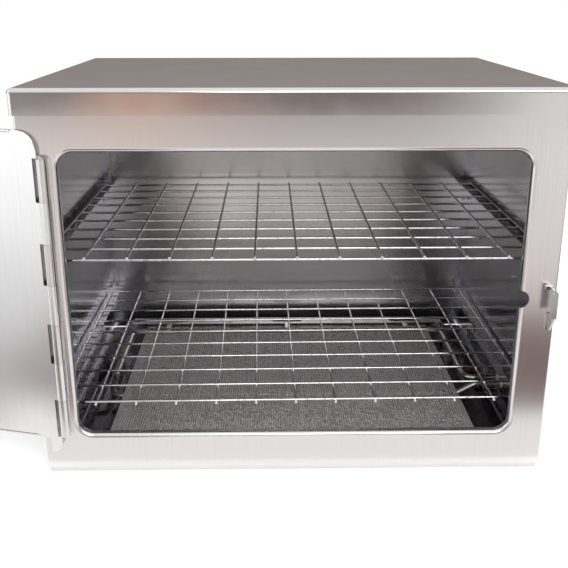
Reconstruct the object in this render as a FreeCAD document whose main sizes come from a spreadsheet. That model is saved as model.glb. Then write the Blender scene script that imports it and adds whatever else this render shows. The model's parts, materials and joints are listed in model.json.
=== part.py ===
import FreeCAD, Part
import math
import os
import re

from FreeCAD import Placement, Rotation, Vector

# Hot towel cabinet: a stainless steel box with a hinged front door, two welded wire
# shelves on ledges, a sheathed heating element round a mesh floor, and a control box
# on the right side. Millimetres; X to the right, Y to the back, Z up. The origin is the
# middle of the underside of the base pan.

SIZES = {
    # cabinet
    "body_width": 468.0, "body_depth": 363.0, "body_height": 329.0, "header": 19.0,
    "base_drop": 6.5, "base_inset": 4.0, "sheet": 1.2, "side_return": 14.0,
    "panel_bend": 2.5, "bottom_flange": 16.0, "rear_flange": 6.5, "seam_gap": 0.3,
    # doorway in the front panel
    "opening_width": 402.0, "opening_height": 263.2, "opening_base": 34.4,
    "opening_corner": 13.5, "edge_bend": 4.2, "edge_return": 6.8, "edge_room": 8.0,
    "notch_radius": 8.2, "latch_height": 165.1,
    # top cover
    "lid_height": 22.0, "lid_side": 2.0, "lid_front": 5.5, "lid_corner": 4.0, "lid_bead": 2.2,
    # shelves and ledges
    "wire": 2.4, "mesh_across": 38.1, "mesh_deep": 35.4, "weld_sink": 0.35, "wire_end": 2.0,
    "upper_ledge": 203.3, "lower_ledge": 59.6, "ledge_width": 13.0, "ledge_start": 17.0,
    "upper_setback": 19.5, "lower_setback": 24.5, "upper_shift": 2.5, "lower_shift": 0.6,
    "upper_skew": 0.0, "lower_skew": 0.55,
    # floor and heating element
    "floor_top": 17.5, "floor_width": 365.0, "floor_start": 8.0, "floor_end": 312.0,
    "mesh_sheet": 0.8, "rail_inner": 202.0, "rail_outer": 227.2, "rail_length": 322.0,
    "bead_radius": 1.6,
    "rear_gap": 3.0, "rear_rail_depth": 20.0, "rear_rail_top": 27.5, "rear_rail_half": 200.0,
    "slot_length": 38.0, "slot_width": 8.0, "slot_pitch": 152.0,
    "frame_leg": 9.0, "rod_clear": 0.65,
    "element_radius": 3.25, "element_x": 196.0, "element_z": 22.3, "element_low_z": 11.5,
    "element_front": 157.0, "element_cross": 140.0, "element_back": 303.0,
    "clip_width": 6.0, "clip_sheet": 1.0, "bush_radius": 4.6, "bush_out": 3.0,
    # hinge and door, drawn closed
    "pin_x": 212.2, "pin_out": 4.6, "barrel_radius": 4.4, "pin_radius": 1.7,
    "hinge_clear": 0.05, "hinge_base": 41.9, "knuckle": 36.94, "knuckle_gap": 0.25, "pin_head": 1.0,
    "leaf_reach": 6.6, "door_gap": 1.6, "door_width": 433.2, "door_base": 25.0,
    "door_height": 298.7, "door_depth": 7.2, "top_corner": 18.0, "foot_corner": 11.0,
    "hinge_slot": 2.0, "strip_edge": 2.6, "strip_drop": 14.5, "strip_foot": 13.5,
    "strip_width": 24.4, "pan_start": 25.6, "rim_band": 2.5, "rim_slope": 1.0,
    "rim_gap": 0.15, "door_open": 195.0,
    # latch and strike
    "shaft_radius": 3.5, "shaft_clear": 0.06, "bushing_radius": 5.0, "bushing_flange": 2.0,
    "tongue_reach": 26.2, "tongue_half": 4.5, "tongue_sheet": 2.5, "tongue_gap": 2.4,
    "hub_radius": 9.0, "handle_out": 17.0, "lever_reach": 72.0,
    "strike_x": 227.8, "strike_depth": 16.0, "strike_sheet": 1.8, "strike_hook": 3.5,
    "strike_base": 143.8, "strike_rise": 38.7, "hook_rise": 15.4,
    # control box on the right side
    "box_start": 131.0, "box_length": 140.0, "box_depth": 34.0, "box_base": 13.0,
    "box_height": 170.0, "box_corner": 4.0, "box_lip": 9.0,
    "knob_set": 40.0, "knob_rise": 128.0, "knob_shaft": 3.0, "terminal_rise": 46.0,
}

doc = FreeCAD.newDocument("HotTowelCabinet")
sheet = doc.addObject("Spreadsheet::Sheet", "Sizes")
for row, (word, value) in enumerate(SIZES.items(), start=1):
    sheet.set(f"A{row}", word)
    sheet.set(f"B{row}", str(value))
    sheet.setAlias(f"B{row}", word)
doc.recompute()

pieces = []


def size(word):
    """The value of one cell of the sheet."""
    return float(sheet.get(word))


# Places that many sub-parts share
THICK = size("sheet")
FACE = -size("body_depth") / 2
BACK = size("body_depth") / 2
SIDE = size("body_width") / 2
BODY_BASE = size("base_drop")
LIP = size("base_drop") + size("body_height")
BODY_TOP = LIP + size("header")
SILL = BODY_BASE + size("opening_base")
OPENING_MID = SILL + size("opening_height") / 2
JAMB = size("opening_width") / 2
LATCH_Z = BODY_BASE + size("latch_height")
PIN = Vector(-size("pin_x"), FACE - size("pin_out"), 0)
DOOR_BACK = FACE - size("door_gap")
DOOR_FRONT = DOOR_BACK - size("door_depth")
BOX_FRONT = FACE + size("box_start")
BOX_OUT = SIDE + size("box_depth")
SCREW_RADIUS = 2.0
CLEARANCE = 0.1

X, Y, Z = Vector(1, 0, 0), Vector(0, 1, 0), Vector(0, 0, 1)


def bind(thing, prop, formula):
    """Bind a property to a formula on the sheet's words."""
    words = re.sub(r"[a-z_]+", lambda match: "Sizes." + match.group(0)
                   if match.group(0) in SIZES else match.group(0), str(formula))
    thing.setExpression(prop, words)


def keep(thing, label):
    """Register an object as a sub-part under its node name."""
    thing.Label = label
    pieces.append(thing)
    return thing


def block(name, corner, extents):
    """A box whose corner and extents are formulas on the sheet's words."""
    box = doc.addObject("Part::Box", name)
    for prop, formula in zip(("Length", "Width", "Height"), extents):
        bind(box, prop, formula)
    for axis, formula in zip("xyz", corner):
        bind(box, f"Placement.Base.{axis}", formula)
    return box


def rod(name, start, radius, length, way=Vector(0, 0, 1)):
    """A round bar along one axis; its start, radius and length are formulas too."""
    cylinder = doc.addObject("Part::Cylinder", name)
    cylinder.Placement = Placement(Vector(0, 0, 0), Rotation(Vector(0, 0, 1), way))
    bind(cylinder, "Radius", radius)
    bind(cylinder, "Height", length)
    for axis, formula in zip("xyz", start):
        bind(cylinder, f"Placement.Base.{axis}", formula)
    return cylinder


def together(name, things):
    """Several separate solids that share one node."""
    group = doc.addObject("Part::Compound", name)
    group.Links = things
    return group


def joined(name, things):
    """One solid from several touching ones."""
    fusion = doc.addObject("Part::MultiFuse", name)
    fusion.Shapes = things
    fusion.Refine = True
    return fusion


def less(name, base, tool):
    """The base with the tool cut away."""
    cut = doc.addObject("Part::Cut", name)
    cut.Base = base
    cut.Tool = tool
    return cut


def shaped(name, shape, placement=None):
    """A sub-part whose outline the primitives don't cover."""
    thing = doc.addObject("Part::Feature", name)
    thing.Shape = shape
    if placement is not None:
        thing.Placement = placement
    return thing


def slab(low, high):
    """A box between two corners."""
    low, high = Vector(*low), Vector(*high)
    return Part.makeBox(high.x - low.x, high.y - low.y, high.z - low.z, low)


def bar(radius, start, end):
    """A round bar from one point to another."""
    start, end = Vector(*start), Vector(*end)
    return Part.makeCylinder(radius, (end - start).Length, start, end - start)


def rounded(low, high, radius, along):
    """A box between two corners with its edges along one axis rounded."""
    solid = slab(low, high)
    edges = [edge for edge in solid.Edges
             if abs(edge.tangentAt(edge.FirstParameter).dot(along)) > 0.99]
    return solid.makeFillet(radius, edges)


def one_solid(first, *others):
    """One clean solid from overlapping shapes."""
    return first.multiFuse(list(others)).removeSplitter()


def bent_wire(points, radii):
    """A path of straight runs joined by tangent arcs."""
    points = [Vector(*point) for point in points]
    edges = []
    start = points[0]
    for before, corner, after, radius in zip(points, points[1:], points[2:], radii):
        way_in = (corner - before).normalize()
        way_out = (after - corner).normalize()
        turn = way_in.getAngle(way_out)
        reach = radius * math.tan(turn / 2)
        first = corner - way_in * reach
        last = corner + way_out * reach
        inward = (way_out - way_in).normalize()
        middle = corner + inward * (radius / math.cos(turn / 2) - radius)
        edges.append(Part.LineSegment(start, first).toShape())
        edges.append(Part.Arc(first, middle, last).toShape())
        start = last
    edges.append(Part.LineSegment(start, points[-1]).toShape())
    return Part.Wire(edges)


def tube(radius, points, radii):
    """A round rod along a bent path."""
    path = bent_wire(points, radii)
    way = Vector(*points[1]) - Vector(*points[0])
    ring = Part.Wire([Part.makeCircle(radius, Vector(*points[0]), way)])
    return path.makePipeShell([ring], True, True)


def pan_screw(head, way, grip):
    """A pan-head screw: its head sits on the point and its shank follows the way."""
    head, way = Vector(*head), Vector(*way)
    cap = Part.makeCylinder(2 * SCREW_RADIUS, 2.0, head, way * -1)
    rim = [edge for edge in cap.Edges if (edge.CenterOfMass - head).dot(way) < -1.0
           and len(edge.Vertexes) == 1]
    cap = cap.makeFillet(0.9, rim)
    shank = Part.makeCylinder(SCREW_RADIUS, grip, head - way * 0.5, way)
    drive = Part.makeBox(0.8, 4.4, 0.9, Vector(-0.4, -2.2, 1.3))
    drive.Placement = Placement(head, Rotation(Z, way * -1))
    return cap.fuse(shank).cut(drive)


def screw_holes(screws_at, way, reach=6.0):
    """Clearance holes for a set of screws."""
    way = Vector(*way)
    return [Part.makeCylinder(SCREW_RADIUS + CLEARANCE, 2 * reach, Vector(*at) - way * reach, way)
            for at in screws_at]


# ---------------------------------------------------------------- cabinet shell

def doorway_plate(inset):
    """A plate round the doorway whose hole has a rounded front edge, inset into the sheet."""
    room, high = size("edge_room"), SILL + size("opening_height")
    front = FACE + inset
    plate = slab((-JAMB - room, front, SILL - room),
                 (JAMB + room, front + size("edge_return"), high + room))
    plate = plate.cut(rounded((-JAMB - inset, FACE - 1, SILL - inset),
                              (JAMB + inset, front + 20, high + inset),
                              size("opening_corner") + inset, Y))
    rim = [edge for edge in plate.Edges
           if abs(edge.BoundBox.YMax - front) < 0.01 and abs(edge.CenterOfMass.x) < JAMB + room / 2
           and abs(edge.CenterOfMass.z - OPENING_MID) < high - OPENING_MID + room / 2]
    return plate.makeFillet(size("edge_bend") - inset, rim)


def front_panel():
    """Front sheet with wrapped sides, a doorway with one rolled edge and a latch notch."""
    bend, room, notch = size("panel_bend"), size("edge_room"), size("notch_radius")
    deep = FACE + size("side_return")
    skin = rounded((-SIDE, FACE, BODY_BASE), (SIDE, deep + bend, BODY_TOP), bend, Z)
    core = rounded((-SIDE + THICK, FACE + THICK, BODY_BASE), (SIDE - THICK, deep + 9, BODY_TOP),
                   bend - THICK, Z)
    skin = skin.cut(core).cut(slab((-SIDE, deep, 0), (SIDE, deep + 9, BODY_TOP)))
    foot = slab((-SIDE + 2 * THICK, FACE + THICK / 2, BODY_BASE),
                (SIDE - 2 * THICK, FACE + size("bottom_flange"), BODY_BASE + THICK))
    window = slab((-JAMB - room, FACE - 1, SILL - room),
                  (JAMB + room, FACE + THICK + 0.01, SILL + size("opening_height") + room))
    edge = doorway_plate(0).cut(doorway_plate(THICK))
    skin = one_solid(skin.fuse(foot).cut(window), edge)
    skin = skin.cut(bar(notch, (JAMB, FACE - 1, LATCH_Z), (JAMB, FACE + 9, LATCH_Z)))
    return skin.removeSplitter()


keep(shaped("FrontPanel", front_panel()), "front_panel")


def side_panel(name, hand):
    """Flat side sheet with a tucked front tongue, a bottom flange and a rear flange."""
    flip = "" if hand > 0 else "-"
    inner = "body_width / 2 - sheet"
    start = "-body_depth / 2 + side_return + seam_gap"

    def across(near, width):
        return f"{flip}({near})" if hand > 0 else f"-({near}) - ({width})"

    skin = block(name + "Skin", (across(inner, "sheet"), start, "base_drop"),
                 ("sheet", "body_depth - side_return - seam_gap - sheet", "body_height + header"))
    tongue = block(name + "Tongue",
                   (across(inner + " - sheet", "sheet"), "-body_depth / 2 + 3", "base_drop + 2"),
                   ("sheet", "ledge_start - 3.5", "body_height + header - 4"))
    foot = block(name + "Foot",
                 (across(inner + " - bottom_flange", "bottom_flange"),
                  "-body_depth / 2 + ledge_start", "base_drop"),
                 ("bottom_flange", "body_depth - ledge_start - 20", "sheet"))
    rear = block(name + "Rear",
                 (across(inner + " - rear_flange", "rear_flange"),
                  "body_depth / 2 - 2 * sheet", "base_drop + 12"),
                 ("rear_flange", "sheet", "body_height + header - 14"))
    return joined(name + "Sheet", [skin, tongue, foot, rear])


REAR_SCREWS = [(side * (SIDE - 4.7), BACK, z) for side in (-1, 1) for z in (40, 180, 320)]
LID_SCREWS = [(side * (SIDE + size("lid_side")), y, LIP + 11)
              for side in (-1, 1) for y in (FACE + 60, BACK - 60)]
BOX_SCREWS = [(SIDE + THICK, y, z)
              for y in (BOX_FRONT - size("box_lip") / 2,
                        BOX_FRONT + size("box_length") + size("box_lip") / 2)
              for z in (size("box_base") + 31, size("box_base") + size("box_height") - 31)]
BULB_PORT = Vector(SIDE, FACE + 240, 40)
BULB_Z = 51.0
LEDGE_WALL = SIDE - 2 * THICK
ELEMENT_PORTS = [Vector(SIDE, FACE + size(word), size("element_z"))
                 for word in ("element_front", "element_cross")]


def left_side_panel():
    holes = Part.makeCompound(screw_holes(REAR_SCREWS[:3], (0, 1, 0))
                              + screw_holes(LID_SCREWS[:2], (1, 0, 0)))
    panel = less("LeftPanelCut", side_panel("Left", -1), shaped("LeftPanelHoles", holes))
    return keep(panel, "left_side_panel")


def right_side_panel():
    ports = [bar(size("bush_radius"), port - X * 9, port + X * 9) for port in ELEMENT_PORTS]
    ports.append(bar(2.2, BULB_PORT - X * 9, BULB_PORT + X * 9))
    holes = Part.makeCompound(screw_holes(REAR_SCREWS[3:], (0, 1, 0)) + ports
                              + screw_holes(LID_SCREWS[2:] + BOX_SCREWS, (1, 0, 0)))
    panel = less("RightPanelCut", side_panel("Right", 1), shaped("RightPanelHoles", holes))
    return keep(panel, "right_side_panel")


left_side_panel()
right_side_panel()


def back_panel():
    skin = block("BackSkin", ("-body_width / 2 + 0.6", "body_depth / 2 - sheet", "base_drop"),
                 ("body_width - 1.2", "sheet", "body_height + header - 1"))
    foot = block("BackFoot", ("-body_width / 2 + 20", "body_depth / 2 - sheet - bottom_flange",
                              "base_drop"),
                 ("body_width - 40", "bottom_flange + sheet / 2", "sheet"))
    holes = shaped("BackHoles", Part.makeCompound(screw_holes(REAR_SCREWS, (0, 1, 0))))
    return keep(less("BackPanel", joined("BackSheet", [skin, foot]), holes), "back_panel")


back_panel()


def top_cover():
    """Lid with rounded corners, a deep skirt all round and a rolled bead on the front edge."""
    over, front, corner = size("lid_side"), size("lid_front"), size("lid_corner")
    bead = size("lid_bead")
    top = LIP + size("lid_height")

    def dome(inset):
        solid = slab((-SIDE - over + inset, FACE - front + inset, LIP),
                     (SIDE + over - inset, BACK + over - inset, top - inset))
        edges = [edge for edge in solid.Edges if edge.CenterOfMass.z > LIP + 1]
        return solid.makeFillet(corner - inset, edges)

    lid = dome(0).cut(dome(THICK))
    roll = Part.makeCylinder(bead, 2 * (SIDE + over - corner), Vector(
        -SIDE - over + corner, FACE - front + bead, LIP + bead), X)
    lid = one_solid(lid, roll)
    return lid.cut(Part.makeCompound(screw_holes(LID_SCREWS, (1, 0, 0))))


keep(shaped("TopCover", top_cover()), "top_cover")


def base_pan():
    """Shallow tray under the body, open at the top."""
    outer = block("PanOuter", ("-body_width / 2 + base_inset", "-body_depth / 2 + base_inset", "0"),
                  ("body_width - 2 * base_inset", "body_depth - 2 * base_inset", "base_drop"))
    inner = block("PanInner", ("-body_width / 2 + base_inset + sheet",
                               "-body_depth / 2 + base_inset + sheet", "sheet"),
                  ("body_width - 2 * base_inset - 2 * sheet",
                   "body_depth - 2 * base_inset - 2 * sheet", "base_drop"))
    return keep(less("BasePan", outer, inner), "base_pan")


base_pan()

keep(shaped("RearScrews", Part.makeCompound([pan_screw(at, (0, -1, 0), 6.0)
                                             for at in REAR_SCREWS])), "back_panel_screws")
keep(shaped("LidScrews", Part.makeCompound([
    pan_screw(at, (-1 if at[0] > 0 else 1, 0, 0), 6.0) for at in LID_SCREWS])),
    "top_cover_screws")


# ---------------------------------------------------------------- shelves and ledges

def ledge(name, hand, top):
    """Shelf ledge: an angle with its flat leg at the top."""
    inner = "body_width / 2 - sheet"
    flat_x = f"{inner} - ledge_width" if hand > 0 else f"-({inner})"
    wall_x = f"{inner} - sheet" if hand > 0 else f"-({inner})"
    start = "-body_depth / 2 + ledge_start"
    length = "body_depth - ledge_start - 2 * sheet - 1"
    flat = block(name + "Flat", (flat_x, start, f"{top} - sheet"),
                 ("ledge_width", length, "sheet"))
    wall = block(name + "Wall", (wall_x, start, f"{top} - ledge_width"),
                 ("sheet", length, "ledge_width"))
    return joined(name, [flat, wall])


for level in ("upper", "lower"):
    for side_name, hand in (("left", -1), ("right", 1)):
        label = f"{level}_{side_name}_ledge"
        keep(ledge(label.title().replace("_", ""), hand, f"{level}_ledge"), label)


SPACES_WIDE, SPACES_DEEP = 12, 9


def wire_shelf(label, level, long_wires_up):
    """Welded grid: 13 wires front to back and 11 across, lying on its ledges."""
    name = label.title().replace("_", "")
    on_ledge, on_wires = f"{level}_ledge + wire / 2", f"{level}_ledge + 3 * wire / 2 - weld_sink"
    along_z, across_z = (on_wires, on_ledge) if long_wires_up else (on_ledge, on_wires)
    half_width = f"mesh_across * {SPACES_WIDE / 2}"
    half_depth = f"mesh_deep * {SPACES_DEEP / 2}"
    wires = []
    for index in range(SPACES_WIDE + 1):
        start = (f"mesh_across * {index} - {half_width}", f"-{half_depth} - wire_end", along_z)
        wires.append(rod(f"{name}Along{index}", start, "wire / 2",
                         f"2 * {half_depth} + wire_end + wire / 2", Y))
    for index in range(SPACES_DEEP + 1):
        start = (f"-{half_width} - wire / 2", f"mesh_deep * {index} - {half_depth}", across_z)
        wires.append(rod(f"{name}Across{index}", start, "wire / 2", f"2 * {half_width} + wire", X))
    grid = doc.addObject("Part::MultiFuse", name)
    grid.Shapes = wires
    bind(grid, "Placement.Base.x", f"{level}_shift")
    bind(grid, "Placement.Base.y", f"-body_depth / 2 + {level}_setback + {half_depth}")
    bind(grid, "Placement.Rotation.Angle", f"{level}_skew * 1 deg")
    return keep(grid, label)


wire_shelf("upper_shelf", "upper", True)
wire_shelf("lower_shelf", "lower", False)


# ---------------------------------------------------------------- floor and heating element

def element():
    """Sheathed rod: round three sides of the floor and back under it, both ends to the right."""
    x, high, low = size("element_x"), size("element_z"), size("element_low_z")
    front, cross = FACE + size("element_front"), FACE + size("element_cross")
    back = FACE + size("element_back")
    out = SIDE + 16
    dip = size("floor_width") / 2 + 1.5
    route = [(out, front, high), (x, front, high), (x, back, high), (-x, back, high),
             (-x, front + 10, high), (-x, cross, low), (dip, cross, low),
             (size("rail_inner") + 1, cross, high), (out, cross, high)]
    return tube(size("element_radius"), route, [11, 18, 18, 14, 9, 10, 10])


keep(shaped("Element", element()), "heating_element")


def floor_mesh():
    """Fine mesh panel between the gutters."""
    return keep(block("FloorMesh", ("-floor_width / 2", "-body_depth / 2 + floor_start",
                                    "floor_top - mesh_sheet"),
                      ("floor_width", "floor_end - floor_start", "mesh_sheet")), "floor_mesh")


def floor_mesh_frame():
    """Angle frame that carries the mesh panel above the pan."""
    half, start = "floor_width / 2", "-body_depth / 2 + bottom_flange + 1"
    across, deep = "floor_width", "floor_end - bottom_flange - 1"
    top = "floor_top - mesh_sheet"
    outer = block("FrameOuter", (f"-{half}", start, "sheet"), (across, deep, f"{top} - sheet"))
    inner = block("FrameInner", (f"-{half} + sheet", f"{start} + sheet", "0"),
                  (f"{across} - 2 * sheet", f"{deep} - 2 * sheet", f"{top} - sheet"))
    window = block("FrameWindow", (f"-{half} + frame_leg", f"{start} + frame_leg", "0"),
                   (f"{across} - 2 * frame_leg", f"{deep} - 2 * frame_leg", "floor_top"))
    port = block("FramePort", (f"-{half} - 1",
                               "-body_depth / 2 + element_cross - element_radius - rod_clear",
                               "element_low_z - element_radius - rod_clear"),
                 ("floor_width + 2", "2 * (element_radius + rod_clear)",
                  "2 * (element_radius + rod_clear)"))
    cut_away = joined("FrameVoids", [inner, window, port])
    return keep(less("FloorMeshFrame", outer, cut_away), "floor_mesh_frame")


floor_mesh()
floor_mesh_frame()


def floor_rail(label, hand):
    """Gutter rail beside the mesh: a folded channel with a stiffening bead on top."""
    name = label.title().replace("_", "")
    end = "floor_start + rail_length"

    def leg(part, near, width, start, base):
        corner_x = near if hand > 0 else f"-({near}) - {width}"
        return block(name + part, (corner_x, f"-body_depth / 2 + {start}", base),
                     (width, f"{end} - ({start})", f"floor_top - ({base})"))

    flat = leg("Flat", "rail_inner", "(rail_outer - rail_inner)", "floor_start",
               "floor_top - sheet")
    near = leg("Near", "rail_inner", "sheet", "bottom_flange + 1", "sheet")
    far = leg("Far", "rail_outer - sheet", "sheet", "bottom_flange + 1", "base_drop + sheet")
    middle = "(rail_inner + rail_outer) / 2"
    bead = rod(name + "Bead", (middle if hand > 0 else "-" + middle,
                               "-body_depth / 2 + floor_start + 4", "floor_top - 1.1"),
               "bead_radius", "element_cross - floor_start + 4", Y)
    return keep(joined(name, [flat, near, far, bead]), label)


floor_rail("left_floor_rail", -1)
floor_rail("right_floor_rail", 1)

CLIP_XS = [index * size("slot_pitch") for index in (-1, 0, 1)]


def rear_floor_rail():
    """Channel behind the element, with three slots in its top."""
    start = "-body_depth / 2 + floor_end + rear_gap"
    outer = block("RearRailOuter", ("-rear_rail_half", start, "sheet"),
                  ("2 * rear_rail_half", "rear_rail_depth", "rear_rail_top - sheet"))
    inner = block("RearRailInner", ("-rear_rail_half", f"{start} + sheet", "0"),
                  ("2 * rear_rail_half", "rear_rail_depth - 2 * sheet", "rear_rail_top - sheet"))
    half_long, half_wide = size("slot_length") / 2, size("slot_width") / 2
    middle = FACE + size("floor_end") + size("rear_gap") + size("rear_rail_depth") / 2
    top = size("rear_rail_top")
    slots = [rounded((x - half_long, middle - half_wide, top - 3),
                     (x + half_long, middle + half_wide, top + 1), 2.0, Z) for x in CLIP_XS]
    hat = less("RearRailHat", outer, inner)
    return keep(less("RearFloorRail", hat, shaped("RearRailSlots", Part.makeCompound(slots))),
                "rear_floor_rail")


rear_floor_rail()


def element_clip(index):
    """Spring clip round the back run of the element, with a tab and a foot on the rear rail."""
    name = f"ElementClip{index}"
    left = f"slot_pitch * {index - 1} - clip_width / 2"
    rod_y, face = "-body_depth / 2 + element_back", "floor_end + rear_gap - element_back"
    ring = rod(name + "Ring", (left, rod_y, "element_z"), "element_radius + clip_sheet",
               "clip_width", X)
    tab = block(name + "Tab", (left, rod_y, "element_z + element_radius"),
                ("clip_width", face, "clip_sheet"))
    foot = block(name + "Foot", (left, f"{rod_y} + {face} - clip_sheet", "element_z - 6"),
                 ("clip_width", "clip_sheet", "element_radius + clip_sheet + 6"))
    bore = rod(name + "Bore", (f"{left} - 1", rod_y, "element_z"), "element_radius + 0.02",
               "clip_width + 2", X)
    return less(name, joined(name + "Body", [ring, tab, foot]), bore)


keep(together("ElementClips", [element_clip(index) for index in range(3)]), "element_clips")


def element_bush(place):
    """Flanged ceramic bush where an end of the element leaves through the right wall."""
    name = "Bush" + place.title().replace("_", "")
    centre = (f"-body_depth / 2 + {place}", "element_z")
    sleeve = rod(name + "Sleeve", ("body_width / 2 - 2 * sheet", *centre), "bush_radius",
                 "2 * sheet + bush_out", X)
    flange = rod(name + "Flange", ("body_width / 2", *centre), "bush_radius + 2.4", "bush_out", X)
    bore = rod(name + "Bore", ("body_width / 2 - 5", *centre), "element_radius + 0.02", "10", X)
    return less(name, joined(name + "Body", [sleeve, flange]), bore)


keep(together("ElementBushes", [element_bush(place) for place in (
    "element_front", "element_cross")]), "element_bushes")


# ---------------------------------------------------------------- hinge

KNUCKLES = 7
HINGE_BASE = size("hinge_base")
PITCH = size("knuckle")
PIN_FIT = size("pin_radius") + size("hinge_clear")


def knuckle_span(index):
    """Height range of one knuckle."""
    gap = size("knuckle_gap") / 2
    return HINGE_BASE + index * PITCH + gap, HINGE_BASE + (index + 1) * PITCH - gap


def knuckle_barrel(index):
    low, high = knuckle_span(index)
    return bar(size("barrel_radius"), PIN + Z * low, PIN + Z * high)


def pin_bore():
    return bar(PIN_FIT, PIN + Z * (HINGE_BASE - 5), PIN + Z * (HINGE_BASE + KNUCKLES * PITCH + 5))


def hinge_frame_leaf():
    """Leaf welded to the front panel; its knuckles are every second one from the bottom."""
    pin = ("-pin_x", "-body_depth / 2 - pin_out")
    tall = f"{KNUCKLES} * knuckle"
    plate = block("LeafPlate", ("-pin_x + barrel_radius + 1", "-body_depth / 2 - sheet",
                                "hinge_base"),
                  ("leaf_reach - barrel_radius - 1", "sheet", tall))
    parts = [plate]
    for index in range(0, KNUCKLES, 2):
        base, rise = f"hinge_base + {index} * knuckle + knuckle_gap / 2", "knuckle - knuckle_gap"
        parts.append(rod(f"LeafBarrel{index}", (*pin, base), "barrel_radius", rise))
        parts.append(block(f"LeafTab{index}", ("-pin_x", "-body_depth / 2 - sheet", base),
                           ("barrel_radius + 2", "sheet", rise)))
    bore = rod("LeafBore", (*pin, "hinge_base - 5"), "pin_radius + hinge_clear", f"{tall} + 10")
    return keep(less("HingeFrameLeaf", joined("LeafBody", parts), bore), "hinge_frame_leaf")


def hinge_pin():
    """Pin with a flat head at the top and bottom."""
    pin = ("-pin_x", "-body_depth / 2 - pin_out")
    tall = f"{KNUCKLES} * knuckle"
    shank = rod("PinShank", (*pin, "hinge_base - pin_head"), "pin_radius",
                f"{tall} + 2 * pin_head")
    heads = [rod("PinFoot", (*pin, "hinge_base - pin_head - 0.2"), "pin_radius + 0.9", "pin_head"),
             rod("PinCap", (*pin, f"hinge_base + {tall} + 0.2"), "pin_radius + 0.9", "pin_head")]
    return keep(joined("HingePin", [shank, *heads]), "hinge_pin")


hinge_frame_leaf()
hinge_pin()


# ---------------------------------------------------------------- door, drawn closed then swung open

OPEN = Placement(Vector(0, 0, 0), Rotation(Z, -size("door_open")), PIN)
DOOR_LOW = size("door_base")
DOOR_HIGH = DOOR_LOW + size("door_height")
PANEL_LOW = DOOR_LOW + size("strip_drop")
FREE_EDGE = PIN.x + size("door_width")
STRIP_END = PIN.x + size("strip_width")
LATCH = Vector(JAMB, 0, LATCH_Z)


def door_hinge_strip():
    """Flat strip along the hinge, with round corners, three knuckles and four cut-outs."""
    radius, edge = size("barrel_radius"), size("strip_edge")
    behind, ahead = DOOR_BACK - THICK, DOOR_BACK
    strip = slab((PIN.x, behind, PANEL_LOW), (STRIP_END, ahead, DOOR_HIGH))
    foot = slab((PIN.x, behind, DOOR_LOW), (PIN.x + size("strip_foot"), ahead, PANEL_LOW + 1))
    strip = strip.fuse(foot)
    for z, quarter, corner in ((DOOR_LOW, 1, size("foot_corner")),
                               (DOOR_HIGH, -1, size("top_corner"))):
        centre_z = z + quarter * corner
        square = slab((PIN.x - 1, behind - 1, min(z - quarter, centre_z)),
                      (PIN.x + edge + corner, ahead + 1, max(z - quarter, centre_z)))
        centre = Vector(PIN.x + edge + corner, behind - 1, centre_z)
        strip = strip.cut(square.cut(bar(corner, centre, centre + Y * (THICK + 2))))
    for index in range(0, KNUCKLES, 2):
        low, high = knuckle_span(index)
        strip = strip.cut(slab((PIN.x - 1, behind - 1, low - 0.5), (
            PIN.x + radius + size("hinge_slot"), ahead + 1, high + 0.5)))
    for low, high in ((DOOR_LOW, HINGE_BASE), (HINGE_BASE + KNUCKLES * PITCH, DOOR_HIGH)):
        strip = strip.cut(slab((PIN.x - 1, behind - 1, low), (PIN.x + edge, ahead + 1, high)))
    barrels = [knuckle_barrel(index) for index in range(1, KNUCKLES, 2)]
    return one_solid(strip, *barrels).cut(pin_bore())


def door_inner_panel():
    """Inner sheet: flat in the middle, with a narrow bent rim along its three free edges."""
    gap = size("rim_gap") + THICK
    band, slope = size("rim_band"), size("rim_slope")
    rim = (STRIP_END, FREE_EDGE - gap, PANEL_LOW + gap, DOOR_HIGH - gap)
    flat = (STRIP_END, FREE_EDGE - band, PANEL_LOW + band, DOOR_HIGH - band)

    def outline(bounds, y):
        left, right, low, high = bounds
        corners = [Vector(left, y, low), Vector(right, y, low), Vector(right, y, high),
                   Vector(left, y, high)]
        return Part.makePolygon(corners + corners[:1])

    def hill(y):
        return Part.makeLoft([outline(flat, y), outline(rim, y - slope)], True, True)

    sheet_metal = hill(DOOR_BACK).cut(hill(DOOR_BACK - THICK))
    middle = slab((STRIP_END, DOOR_BACK - THICK, flat[2]), (FREE_EDGE - band, DOOR_BACK, flat[3]))
    return one_solid(sheet_metal, middle, door_hinge_strip()).cut(
        bar(size("bushing_radius") + 0.05, LATCH + Y * (DOOR_FRONT - 5), LATCH + Y * FACE))


def door_outer_panel():
    """Outer pan: a skin with four edges folded back to the inner sheet."""
    corner = 2.0
    left = PIN.x + size("pan_start")
    rim_y = DOOR_BACK - size("rim_slope") + 0.6
    pan = slab((left, DOOR_FRONT, PANEL_LOW), (FREE_EDGE, rim_y, DOOR_HIGH))
    pan = pan.makeFillet(corner, [edge for edge in pan.Edges
                                  if edge.CenterOfMass.y < DOOR_FRONT + 0.1
                                  or abs(edge.CenterOfMass.x - FREE_EDGE) < 0.1
                                  and abs(edge.tangentAt(edge.FirstParameter).y) > 0.9])
    hollow = slab((left + THICK, DOOR_FRONT + THICK, PANEL_LOW + THICK),
                  (FREE_EDGE - THICK, rim_y + 5, DOOR_HIGH - THICK))
    shaft_hole = bar(size("bushing_radius") + 0.05, LATCH + Y * (DOOR_FRONT - 5),
                     LATCH + Y * FACE)
    return pan.cut(hollow).cut(shaft_hole).cut(door_inner_panel())


keep(shaped("DoorInnerPanel", door_inner_panel(), OPEN), "door_inner_panel")
keep(shaped("DoorOuterPanel", door_outer_panel(), OPEN), "door_outer_panel")


# ---------------------------------------------------------------- latch and strike

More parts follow.
